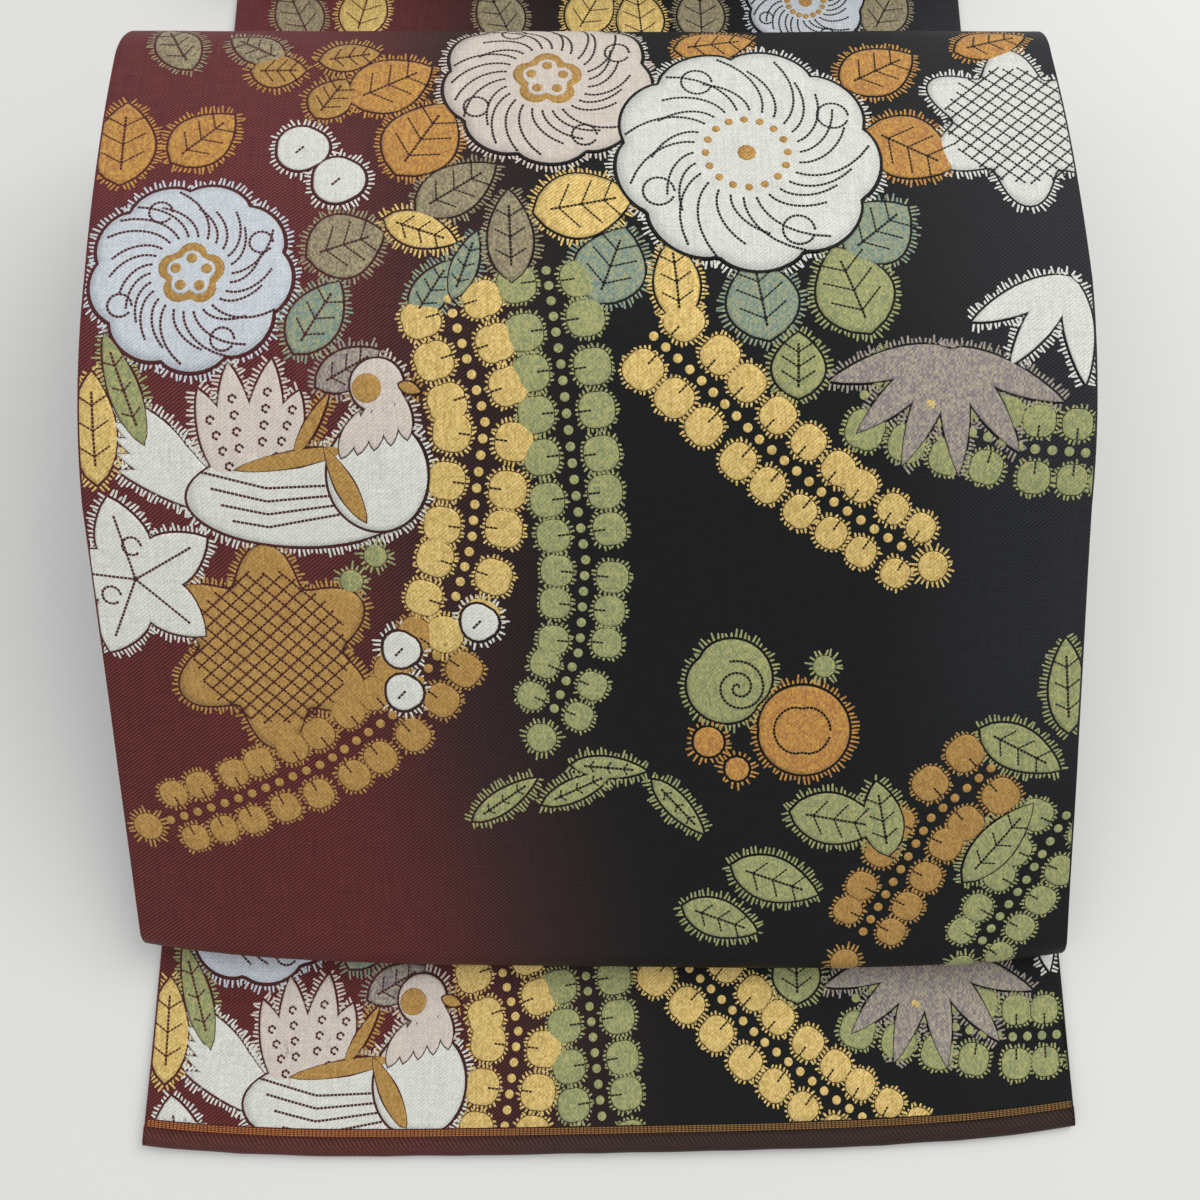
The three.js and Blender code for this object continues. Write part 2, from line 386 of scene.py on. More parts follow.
def cloth_material(name, twill_depth, twill_height, roughness, fleck, sheen, slub=0.25, specular=0.2):
    """A woven cloth: twill lines, thread to thread variation, and flecks of a second colour."""
    material = bpy.data.materials.new(name)
    material.use_nodes = True
    tree = material.node_tree
    shader = tree.nodes["Principled BSDF"]
    shader.inputs["Sheen Weight"].default_value = sheen
    shader.inputs["Sheen Roughness"].default_value = 0.45
    shader.inputs["Specular IOR Level"].default_value = specular
    weave = node(tree, "ShaderNodeAttribute", attribute_name="weave").outputs["Vector"]
    tone = node(tree, "ShaderNodeAttribute", attribute_name="tone").outputs["Color"]
    dot = node(tree, "ShaderNodeVectorMath", operation="DOT_PRODUCT")
    tree.links.new(weave, dot.inputs[0])
    turn = TAU / TWILL_PITCH
    dot.inputs[1].default_value = (-math.sin(TWILL_ANGLE) * turn, math.cos(TWILL_ANGLE) * turn, 0)
    wave = math_node(tree, "SINE", dot.outputs["Value"])
    # Threads of slightly uneven shade, running across and along the cloth.
    across = node(tree, "ShaderNodeTexNoise", noise_dimensions="2D")
    across.inputs["Scale"].default_value = 1.0
    across.inputs["Detail"].default_value = 2.0
    tree.links.new(scaled(tree, weave, (0.09, 2.3, 0)), across.inputs["Vector"])
    down = node(tree, "ShaderNodeTexNoise", noise_dimensions="2D")
    down.inputs["Scale"].default_value = 1.0
    down.inputs["Detail"].default_value = 2.0
    tree.links.new(scaled(tree, weave, (1.7, 0.07, 0)), down.inputs["Vector"])
    threads = math_node(tree, "ADD", across.outputs["Fac"], down.outputs["Fac"])
    level = math_node(tree, "MULTIPLY_ADD", threads, 2 * slub, 1 - 2 * slub)
    cells = node(tree, "ShaderNodeTexWhiteNoise", noise_dimensions="2D")
    snap = node(tree, "ShaderNodeVectorMath", operation="FLOOR")
    tree.links.new(scaled(tree, weave, (1.75, 1.15, 0)), snap.inputs[0])
    tree.links.new(snap.outputs[0], cells.inputs["Vector"])
    shade = math_node(tree, "MULTIPLY_ADD", wave, twill_depth, 1.0)
    shade = math_node(tree, "MULTIPLY", shade, level)
    colour = tone
    lame = None
    if fleck:
        second = node(tree, "ShaderNodeAttribute", attribute_name="fleck")
        lame = node(tree, "ShaderNodeAttribute", attribute_name="lame").outputs["Fac"]
        share = math_node(tree, "MULTIPLY", cells.outputs["Value"], second.outputs["Alpha"])
        colour = mixed(tree, share, tone, second.outputs["Color"])
        jitter = math_node(tree, "MULTIPLY_ADD", cells.outputs["Value"], 0.16, 0.92)
        shade = math_node(tree, "MULTIPLY", shade, jitter)
    combine = node(tree, "ShaderNodeCombineXYZ")
    for k in range(3):
        tree.links.new(shade, combine.inputs[k])
    final = mixed(tree, 1.0, colour, combine.outputs[0], "MULTIPLY")
    tree.links.new(final, shader.inputs["Base Color"])
    height = math_node(tree, "MULTIPLY", wave, twill_height)
    height = math_node(tree, "MULTIPLY_ADD", threads, 0.10, height)
    if fleck:
        pucker = node(tree, "ShaderNodeTexNoise", noise_dimensions="2D")
        pucker.inputs["Scale"].default_value = 1.0
        pucker.inputs["Detail"].default_value = 1.0
        tree.links.new(scaled(tree, weave, (0.36, 0.075, 0)), pucker.inputs["Vector"])
        amount = math_node(tree, "MULTIPLY_ADD", lame, 1.2, 0.5)
        bulge = math_node(tree, "MULTIPLY", pucker.outputs["Fac"], amount)
        height = math_node(tree, "ADD", height, bulge)
        shine = math_node(tree, "MULTIPLY", lame, 0.55)
        tree.links.new(shine, shader.inputs["Metallic"])
        rough = math_node(tree, "MULTIPLY_ADD", lame, -0.22, roughness)
        rough = math_node(tree, "MULTIPLY_ADD", cells.outputs["Value"], 0.10, rough)
        tree.links.new(rough, shader.inputs["Roughness"])
    else:
        rough = math_node(tree, "MULTIPLY_ADD", down.outputs["Fac"], 0.12, roughness - 0.06)
        tree.links.new(rough, shader.inputs["Roughness"])
    bump = node(tree, "ShaderNodeBump")
    bump.inputs["Strength"].default_value = 0.8
    bump.inputs["Distance"].default_value = 0.0006
    tree.links.new(height, bump.inputs["Height"])
    tree.links.new(bump.outputs["Normal"], shader.inputs["Normal"])
    return material


ground_cloth = cloth_material("ground_cloth", 0.62, 0.16, 0.55, False, 0.0, 0.3)
figure_cloth = cloth_material("figure_cloth", 0.10, 0.10, 0.55, True, 0.10, 0.14)
back_cloth = cloth_material("back_cloth", 0.4, 0.12, 0.6, False, 0.10, 0.3)
band_cloth = cloth_material("band_cloth", 0.5, 0.14, 0.55, False, 0.10, 0.3)


# ---- The cloth's long pieces -----------------------------------------------------------------
def spaced(*spans):
    """Stations from (from, to, step) spans, each once."""
    parts = [np.linspace(low, high, max(2, round((high - low) / step) + 1)) for low, high, step in spans]
    return np.unique(np.round(np.concatenate(parts), 4))


def backing_tone(side, along):
    side, along = np.broadcast_arrays(np.asarray(side, float), np.asarray(along, float))
    return np.tile(np.array((0.010, 0.009, 0.010)), side.shape + (1,))


HIDDEN_FROM = 95.0
face_along = spaced(
    (HEM_TOP, HIDDEN_FROM, 2.2),
    (HIDDEN_FROM, FLAP, 7),
    (FLAP, FLAP + 6.6, 0.8),
    (FLAP + 6.6, DRUM[0], 7),
    (DRUM[0], DRUM[0] + 16.5, 1.2),
    (DRUM[0] + 16.5, DRUM[1], 2.2),
    (REAR[0], REAR[1], 3),
    (RUN_SPAN[0], RUN_SPAN[1], 3),
)
face = shell("face_cloth", main, face_along, 150, FACE_LOW, FACE_TOP, ground_cloth)
back_along = spaced(
    (HEM_UNDER, FLAP, 6),
    (FLAP, FLAP + 6.6, 0.8),
    (FLAP + 6.6, DRUM[0], 7),
    (DRUM[0], DRUM[0] + 16.5, 1.2),
    (DRUM[0] + 16.5, DRUM[1], 5),
    (REAR[0], RUN_SPAN[1], 5),
)
back = shell("back_cloth", main, back_along, 64, BACK_LOW, BACK_TOP, back_cloth, colour=backing_tone)

# ---- The folded rest -------------------------------------------------------------------------
# The cloth goes to and fro in layers, with a fold at each end, and the free end comes out on top.
stack_near = main["end"]["y"] + GAP / 2
stack_depth = (LENGTH - main["length"] + END_SHORT) / STACK_LAYERS
fold_up = (LAYER + FACE - BACK) / 2      # figured side inside, at the far end
fold_over = (LAYER + BACK - FACE) / 2    # figured side outside, at the near end
fold_reach = fold_over + FACE_TOP
# How far each layer lies to one side, how far it turns, and how far its far fold stops short.
STACK_COLUMNS = ("aside", "slant", "short")
STACK = [
    (-0.9, 0.0, 0.4), (-0.2, 0.3, 1.2), (0.7, -0.4, 0.9), (1.0, 0.2, 1.5), (0.2, 0.5, 0.6),
    (-0.8, -0.3, 1.1), (-1.0, 0.2, 0.5), (-0.1, -0.5, 1.6), (0.9, 0.3, 1.0), (0.4, 0.1, 0.7),
]


def stack_route():
    rows = []
    layers = [dict(zip(STACK_COLUMNS, values)) for values in STACK]
    near = fold_reach + 0.3
    at = 0.0
    for number, layer in enumerate(layers):
        far = stack_depth - fold_reach - layer["short"]
        comes_back = number % 2 == 1
        if comes_back:
            rows.append(("back", at - near, 0, 0, layer["aside"], layer["slant"], 0))
            at = near
        else:
            rows.append(("out", far - at, 0, 0, layer["aside"], layer["slant"], 0))
            at = far
        if number < len(layers) - 1:
            radius, turn = (fold_over, -180) if comes_back else (fold_up, 180)
            rows.append(("fold", 0, radius, turn, layer["aside"], layer["slant"], 0))
    start = dict(y=stack_near, z=CENTRE, heading=0.0, aside=main["end"]["aside"], slant=0.0, corner=0.0)
    return follow(start, rows)


def stack_relief(side, along):
    side, along = np.broadcast_arrays(np.asarray(side, float), np.asarray(along, float))
    return 0.05 * np.sin(side / 31.0 + along / 57.0) + 0.04 * np.sin(along / 23.0)


stack_line = stack_route()
bends = np.abs(np.diff(stack_line["heading"])) > 1e-6
bend_along = stack_line["along"][1:][bends][::2]
straight_along = np.arange(0, stack_line["length"], 18.0)
stack_along = np.unique(np.round(np.concatenate([straight_along, bend_along, [0, stack_line["length"]]]), 3))
stack_along = stack_along[np.concatenate([[True], np.diff(stack_along) > 0.3])]
STACK_SHIFT = 37.0              # where the pattern has got to, so the shades carry on
folded_face = shell("folded_face", stack_line, stack_along, 40, FACE_LOW, FACE_TOP, ground_cloth,
                    lift=stack_relief, shift=STACK_SHIFT)
folded_back = shell("folded_back", stack_line, stack_along, 40, BACK_LOW, BACK_TOP, back_cloth,
                    lift=stack_relief, colour=backing_tone)

hand_start = dict(y=stack_near + fold_reach, z=(STACK_LAYERS - 2) * LAYER + FACE + GAP / 2,
                  heading=math.pi, aside=main["end"]["aside"], slant=0.0, corner=0.0)
hand_flat = stack_depth - END_SHORT - fold_reach
hand_line = follow(hand_start, [
    ("hand", 0, fold_over, -180, 0, 0, 0),
    ("hand", hand_flat, 0, 0, 2, 1.5, 0),
])
HAND_CREASES = [(-90, 120, 18, 0.5), (-20, 190, 24, 0.7), (55, 90, 16, 0.5), (110, 210, 20, 0.8)]


def hand_relief(side, along):
    side, along = np.broadcast_arrays(np.asarray(side, float), np.asarray(along, float))
    total = 0.12 + 0.10 * np.sin(side / 23.0 + along / 37.0)
    for middle, up, width, height in HAND_CREASES:
        off = side - middle - 0.12 * (along - up)
        total = total + height * np.exp(-(off / width) ** 2) * np.exp(-((along - up) / 70.0) ** 2)
    return total * np.clip(along / 30, 0, 1)


HAND_LENGTH = hand_line["length"]
HAND_SHIFT = 320.0
hand_face_along = spaced((0, 5, 0.6), (5, HAND_LENGTH - HEM_TOP, 4))
hand_back_along = spaced((0, 5, 0.6), (5, HAND_LENGTH - HEM_UNDER, 6))
hand_face = shell("hand_face", hand_line, hand_face_along, 80, FACE_LOW, FACE_TOP, ground_cloth,
                  lift=hand_relief, shift=HAND_SHIFT)
hand_back = shell("hand_back", hand_line, hand_back_along, 48, BACK_LOW, BACK_TOP, back_cloth,
                  lift=hand_relief, colour=backing_tone)


# ---- Hems ------------------------------------------------------------------------------------
def band_tone(side, along):
    return ground(side, along) * 0.55 + np.array((0.030, 0.012, 0.008))


HEM_LAP = 0.2                   # how far a hem's top band reaches over the face cloth's edge


def hem(name, line, end_along, toward, lift):
    """The face cloth's plain band, turned round the end and under it."""
    nose = THICK / 2
    turns = np.linspace(0, math.pi, 9)
    top_reach = [nose - HEM_TOP - HEM_LAP, nose - HEM_TOP / 2]
    under_reach = [nose - HEM_UNDER / 2, nose - HEM_UNDER]
    reach = np.concatenate([top_reach, nose * np.sin(turns), under_reach])
    rise = np.concatenate([[THICK, THICK], nose + nose * np.cos(turns), [0, 0]])
    inner = GAP / 2
    inner_reach = np.concatenate([top_reach, inner * np.sin(turns), under_reach])
    inner_rise = np.concatenate([[nose + inner] * 2, nose + inner * np.cos(turns), [nose - inner] * 2])
    section_reach = np.concatenate([reach, inner_reach[::-1]])
    section_rise = np.concatenate([rise, inner_rise[::-1]])
    side = np.linspace(-HALF, HALF, 125)
    lifts = lift(side, np.full_like(side, end_along + (0 if toward < 0 else -1)))
    edge = lay(line, side, np.full_like(side, end_along), np.zeros_like(side)) / MM
    droop = 0.25 * np.sin(side / 13.0) + 0.2 * np.sin(side / 5.3 + 1)
    points = []
    for k in range(len(side)):
        y = edge[k, 1] + toward * (section_reach - nose) - toward * np.abs(droop[k]) * 0.5
        z = edge[k, 2] - CENTRE + section_rise + lifts[k]
        points.append(np.stack([np.full_like(y, edge[k, 0]), y, z], -1))
    points = np.concatenate(points) * MM
    count = len(section_reach)
    faces = []
    for k in range(len(side) - 1):
        base = k * count
        faces += ring_faces(base, count)
    half = count // 2
    for k in range(half - 1):
        far = count - 1 - k
        faces.append([k, far, far - 1, k + 1][::-1])
        last = (len(side) - 1) * count
        faces.append([last + k, last + far, last + far - 1, last + k + 1])
    if signed_volume(points, faces) < 0:
        faces = [face[::-1] for face in faces]
    piece = make_object(name, points, faces, band_cloth)
    path = np.concatenate([np.linspace(0, 20, half), np.linspace(20, 0, half)])
    weave_side = np.repeat(side, count)
    weave_along = np.tile(path, len(side))
    set_vector(piece, "weave", np.stack([weave_side, weave_along, np.zeros_like(weave_side)], -1))
    set_colour(piece, "tone", with_alpha(band_tone(weave_side, weave_along)))
    return piece


hem_flap = hem("hem_band_flap", main, 0.0, -1, relief)
hem_hand = hem("hem_band_hand", hand_line, HAND_LENGTH, 1, hand_relief)

# ---- Woven figures ---------------------------------------------------------------------------
# Each figure is a low raised patch on the cloth, with a fringe of binding threads round it.
chance = random.Random(7)
WHITE, BLUE_WHITE, PINK_WHITE = (0.70, 0.70, 0.64), (0.58, 0.62, 0.66), (0.65, 0.57, 0.50)
GOLD, OCHRE, ORANGE = (0.62, 0.42, 0.13), (0.42, 0.22, 0.06), (0.43, 0.18, 0.06)
GREEN, TEAL, OLIVE, PURPLE = (0.25, 0.29, 0.14), (0.17, 0.27, 0.25), (0.22, 0.17, 0.12), (0.24, 0.20, 0.22)
FLECKS = {GREEN: (0.46, 0.42, 0.16), TEAL: (0.42, 0.38, 0.17), OLIVE: (0.42, 0.37, 0.20),
          PURPLE: (0.48, 0.42, 0.28), ORANGE: (0.62, 0.36, 0.07), GOLD: (0.82, 0.62, 0.24),
          OCHRE: (0.52, 0.33, 0.10)}
EDGE_LEVEL, LAYER_STEP, PUFF = 0.15, 0.2, 0.15
figures = {"points": [], "faces": [], "tone": [], "fleck": [], "lame": []}
view = {"shift": 0.0, "low": 0.0, "high": 0.0}


def add(points, faces, thread):
    """Keeps a patch of (side, along, out) points if it lies on the stretch being woven."""
    points = np.array(points, float)
    points[:, 1] += view["shift"]
    if points[:, 1].max() < view["low"] or points[:, 1].min() > view["high"]:
        return
    points[:, 0] = np.clip(points[:, 0], -HALF + 0.9, HALF - 0.9)
    points[:, 1] = np.clip(points[:, 1], view["low"], view["high"])
    base = len(figures["points"])
    figures["points"] += points.tolist()
    figures["faces"] += [[base + k for k in face] for face in faces]
    dark = thread is None
    tone = ground(points[:, 0], points[:, 1]) * 0.6 if dark else np.tile(thread, (len(points), 1))
    fleck = tone if dark else np.tile(FLECKS.get(thread, thread), (len(points), 1))
    figures["tone"] += tone.tolist()
    figures["fleck"] += np.concatenate([fleck, np.full((len(points), 1), 0.75)], 1).tolist()
    figures["lame"] += [0.55 if thread in (GOLD, OCHRE) else 0.0] * len(points)


def fringe(outline, thread, gap=0.2, reach=2.4, pitch=1.3, width=0.8):
    loop = np.vstack([outline, outline[:1]])
    step = np.linalg.norm(np.diff(loop, axis=0), axis=1)
    travelled = np.concatenate([[0], np.cumsum(step)])
    turning = np.sum(outline[:, 0] * np.roll(outline[:, 1], -1) - np.roll(outline[:, 0], -1) * outline[:, 1])
    for at in np.arange(0, travelled[-1], pitch):
        here = np.array([np.interp(at, travelled, loop[:, k]) for k in (0, 1)])
        ahead = np.array([np.interp(min(at + 0.5, travelled[-1]), travelled, loop[:, k]) for k in (0, 1)])
        way = (ahead - here) / (np.linalg.norm(ahead - here) + 1e-9)
        outward = np.array((way[1], -way[0])) * (1 if turning > 0 else -1)
        near = here + outward * gap
        far = here + outward * (gap + reach * chance.uniform(0.45, 1.2)) + way * chance.uniform(-0.5, 0.5)
        root, tip = way * width / 2, way * width / 3
        corners = [near - root, near + root, far + tip, far - tip]
        add([(*corner, 0.1) for corner in corners], [(0, 1, 2, 3)], thread)


def patch(outline, thread, layer=0, ring=0.0, reach_out=2.4):
    """A raised patch inside an outline seen from its middle, over a dark ring."""
    outline = np.array(outline, float)
    middle = outline.mean(0)
    count = len(outline)
    level = EDGE_LEVEL + LAYER_STEP * layer
    if ring:
        push = (outline - middle) / (np.linalg.norm(outline - middle, axis=1)[:, None] + 1e-9) * ring
        wide = [(*point, level - 0.04) for point in np.vstack([outline + push, outline - push])]
        strip = [(j, (j + 1) % count, count + (j + 1) % count, count + j) for j in range(count)]
        add(wide, strip, None)
    reach = np.linalg.norm(outline - middle, axis=1).max()
    inner = np.linspace(0.9, 0.06, max(3, int(reach / 2.8)))
    rings = [(1, 0.02), (1, level)]
    rings += [(share, level + PUFF * (0.7 if share > 0.88 else 1)) for share in inner]
    points = [(*(middle + (point - middle) * share), out) for share, out in rings for point in outline]
    faces = []
    for k in range(len(rings) - 1):
        for j in range(count):
            a, b = k * count + j, k * count + (j + 1) % count
            faces.append((a, b, b + count, a + count))
    faces.append([(len(rings) - 1) * count + j for j in range(count)])
    add(points, faces, thread)
    if reach_out:
        fringe(outline, thread, gap=0.25 + ring, reach=reach_out)


def stroke(path, layer=0, thread=None, width=0.75):
    """A woven line of short beads on top of a patch."""
    path = np.array(path, float)
    travelled = np.concatenate([[0], np.cumsum(np.linalg.norm(np.diff(path, axis=0), axis=1))])
    out = EDGE_LEVEL + LAYER_STEP * layer + PUFF + 0.04
    for at in np.arange(0, travelled[-1] - 0.5, 1.25):
        ends = [np.array([np.interp(d, travelled, path[:, k]) for k in (0, 1)]) for d in (at, at + 1.05)]
        way = ends[1] - ends[0]
        off = np.array((-way[1], way[0])) / (np.linalg.norm(way) + 1e-9) * width / 2
        corners = (ends[0] - off, ends[1] - off, ends[1] + off, ends[0] + off)
        add([(*corner, out) for corner in corners], [(0, 1, 2, 3)], thread)


def blob(side, along, radius, lobes=0, depth=0.0, turn=0.0, stretch=1.0, power=0.6):
    angle = np.linspace(0, TAU, max(10, int(radius * 3.2)), endpoint=False)
    reach = radius * (1 - depth + depth * np.abs(np.cos(lobes * (angle - turn) / 2)) ** power)
    return np.stack([side + reach * np.cos(angle) * stretch, along + reach * np.sin(angle)], -1)


def leaf(side, along, length, width, angle, thread, layer=0, veins=3):
    turn = math.radians(angle)
    way, off = np.array((math.cos(turn), math.sin(turn))), np.array((-math.sin(turn), math.cos(turn)))
    shares = np.linspace(0, 1, 13)
    swell = np.sin(np.pi * shares ** 0.85) ** 0.8 * width / 2
    spine = np.array((side, along)) + np.outer((shares - 0.5) * length, way)
    outline = np.concatenate([spine + swell[:, None] * off, (spine - swell[:, None] * off)[-2:0:-1]])
    patch(outline, thread, layer, 0.5)
    if veins:
        stroke(spine[2:-2], layer)
        for share in np.linspace(0.25, 0.7, veins):
            root = np.array((side, along)) + (share - 0.5) * length * way
            for flip in (-1, 1):
                stroke([root, root + way * width * 0.22 + off * flip * width * 0.34], layer, width=0.55)


def around(side, along, reach, angle):
    return side + reach * math.cos(angle), along + reach * math.sin(angle)


def rosette(side, along, radius, thread, layer, lobed):
    patch(blob(side, along, radius, 9, 0.10, chance.random()), thread, layer, 1.0)
    inner = radius * 0.40
    for k in range(26):
        start = TAU * k / 26
        reach = radius * chance.choice((0.72, 0.8, 0.93))
        shares = np.linspace(0, 1, 8)
        radii = inner + (reach - inner) * shares
        angles = start + 0.55 * shares ** 1.4
        stroke(np.stack([side + radii * np.cos(angles), along + radii * np.sin(angles)], -1), layer)
    for k in range(4):
        angle = TAU * (k + 0.3) / 4
        stroke(blob(*around(side, along, 0.76 * radius, angle), radius * 0.12), layer)
    if lobed:
        patch(blob(side, along, radius * 0.34, 5, 0.3, 0.3), OCHRE, layer + 1)
        patch(blob(side, along, radius * 0.25, 5, 0.35, 0.3), thread, layer + 2)
        for k in range(5):
            angle = 0.3 + TAU * k / 5
            middle = around(side, along, radius * 0.16, angle)
            patch(blob(*middle, 1.7), OCHRE, layer + 3, reach_out=0)
    else:
        for k in range(16):
            angle = TAU * k / 16
            middle = around(side, along, radius * 0.31, angle)
            patch(blob(*middle, 1.3), OCHRE, layer + 1, reach_out=0)
        patch(blob(side, along, 3), OCHRE, layer + 1, reach_out=0)


def garland(spine, thread, size=13.0, least=9.5):
    spine = np.array(spine, float)
    travelled = np.concatenate([[0], np.cumsum(np.linalg.norm(np.diff(spine, axis=0), axis=1))])

    def at(distance):
        return np.array([np.interp(distance, travelled, spine[:, k]) for k in (0, 1)])

    for distance in np.arange(0, travelled[-1], 5.0):
        patch(blob(*at(distance), 1.5), thread, reach_out=0)
    distance = 4.0
    while distance < travelled[-1] + 2:
        width = size + (least - size) * distance / travelled[-1]
        way = at(min(distance + 2, travelled[-1])) - at(distance - 3)
        way /= np.linalg.norm(way) + 1e-9
        off = np.array((-way[1], way[0]))
        for flip in (-1, 1):
            middle = at(distance) + off * flip * (width * 0.5 + 3.3) + way * chance.uniform(-1, 1)
            patch(blob(*middle, width * 0.5, 4, 0.13, math.atan2(*(off * flip)[::-1]) + math.pi / 4), thread,
                  reach_out=1.3)
            stroke([middle - off * flip * width * 0.45, middle - off * flip * width * 0.12], width=0.6)
        distance += width + 0.9
    patch(blob(*(at(travelled[-1]) + way * least * 0.8), least * 0.5), thread)


def lattice_star(side, along, radius, thread, layer=0):
    outline = blob(side, along, radius * 1.08, 6, 0.34, 0.5, power=1.7)
    patch(outline, thread, layer, 0.4)
    for slope in (0.9, -0.9):
        for k in np.arange(-radius, radius, 5.0):
            path = [(side + t, along + k + slope * t) for t in np.linspace(-radius, radius, 50)]
            path = [p for p in path if math.hypot(p[0] - side, p[1] - along) < radius * 0.82]
            if len(path) > 3:
                stroke(path, layer, width=0.65)


def bellflower(side, along, radius, layer=0):
    for k in range(5):
        turn = 90 + 72 * k + 12
        way = (math.cos(math.radians(turn)), math.sin(math.radians(turn)))
        middle = (side + way[0] * radius * 0.5, along + way[1] * radius * 0.5)
        leaf(*middle, radius, radius * 0.62, turn, WHITE, layer, 0)
        stroke([(side, along), (side + way[0] * radius * 0.8, along + way[1] * radius * 0.8)], layer)
    stroke(blob(side, along + radius * 0.4, 3), layer)
    stroke(blob(side - radius * 0.3, along - radius * 0.2, 3), layer)


# Side, along, length and angle of the raised wing's feathers.
WING_FEATHERS = [(-107, 489, 36, 98), (-98, 491, 34, 84), (-112, 483, 34, 112), (-92, 486, 26, 70)]


def waterfowl():
    """A plain waterbird facing right, in the usual textile manner."""
    for k in range(6):
        leaf(-122 - 2 * k, 468 + 3.6 * k, 44 - 2 * k, 9, 163 - 5 * k, WHITE, 0, 0)
    for side, along, length, angle in WING_FEATHERS:
        leaf(side, along, length, 11, angle, PINK_WHITE, 1, 0)
        for up in (-8, -3, 2, 7):
            stroke(blob(*around(side, along, up, math.radians(angle)), 1.2), 1)
    patch(blob(-88, 466, 15, stretch=2.3), WHITE, 1, 0.8)
    for k in range(4):
        stroke([(-118 + 3 * k, 474 - 5 * k), (-98, 469 - 4 * k), (-76, 470 - 3 * k)], 1)
    leaf(-88, 478, 40, 5, 10, OCHRE, 2, 0)
    leaf(-84, 488, 22, 4, 60, OCHRE, 2, 0)
    patch(blob(-64, 473, 17, stretch=0.9), WHITE, 2, 0.8)
    leaf(-74, 470, 26, 6, 118, OCHRE, 3, 0)
    for k in range(5):
        leaf(-72 + 4 * k, 485 + 1.5 * k, 15, 5, 68 + 8 * k, PINK_WHITE, 3, 0)
    patch(blob(-64, 500, 8), PINK_WHITE, 3, 0.6)
    patch(blob(-67, 499, 4.5), OCHRE, 4)
    leaf(-54, 499, 7, 3.4, -20, OCHRE, 4, 0)


def bamboo(side, along, length, thread, turns, layer=1):
    for turn in turns:
        way = (math.cos(math.radians(turn)), math.sin(math.radians(turn)))
        leaf(side + way[0] * length * 0.5, along + way[1] * length * 0.5, length, 9, turn, thread, layer, 0)


LEAF_COLUMNS = ("side", "along", "length", "width", "angle", "thread", "layer")
LEAVES = [
    (7, 538, 27, 22, 70, TEAL, 0), (53, 527, 27, 22, 100, TEAL, 0), (90, 550, 26, 22, 40, TEAL, 0),
    (-48, 530, 22, 11, 60, TEAL, 0), (-38, 538, 24, 8, 72, TEAL, 1), (-83, 521, 26, 16, 60, TEAL, 0),
    (-73, 505, 22, 12, 30, PURPLE, 0), (-75, 545, 25, 22, 20, OLIVE, 0), (-41, 565, 30, 17, 35, OLIVE, 0),
    (-24, 548, 32, 14, 92, OLIVE, 1), (-135, 624, 26, 14, 120, OLIVE, 0), (-108, 622, 22, 12, 150, OLIVE, 0),
    (81, 530, 30, 24, 110, GREEN, 0), (-1, 559, 32, 23, 12, GOLD, 1), (-52, 550, 24, 12, -20, GOLD, 0),
    (27, 533, 28, 14, 95, GOLD, 0), (-150, 487, 34, 14, 92, GOLD, 0), (-147, 582, 32, 20, 92, ORANGE, 0),
    (-122, 584, 26, 19, 45, ORANGE, 0), (-63, 606, 30, 22, 30, ORANGE, 0), (-52, 584, 32, 24, 60, ORANGE, 0),
    (43, 624, 26, 16, 10, ORANGE, 0), (96, 612, 28, 20, 30, ORANGE, 0), (103, 580, 30, 24, -30, ORANGE, 0),
    (135, 625, 26, 14, 20, ORANGE, 0), (-100, 612, 18, 14, 0, OCHRE, 0), (-82, 600, 18, 14, 60, OCHRE, 0),
    (-77, 618, 20, 12, 10, OCHRE, 0), (64, 506, 20, 16, 90, GREEN, 0), (-141, 499, 36, 9, 110, GREEN, 1),
    (77, 362, 30, 17, -10, GREEN, 1), (57, 341, 30, 15, -20, GREEN, 1), (39, 327, 26, 13, -20, GREEN, 0),
    (136, 384, 30, 14, -30, GREEN, 1), (130, 352, 34, 13, 50, GREEN, 1), (150, 405, 32, 12, 95, GREEN, 0),
    (92, 362, 26, 13, 100, GREEN, 1), (-30, 368, 26, 7, 35, GREEN, 0), (-6, 372, 26, 7, 25, GREEN, 0),
    (4, 379, 24, 7, -5, GREEN, 0), (26, 366, 24, 7, -48, GREEN, 0),
]


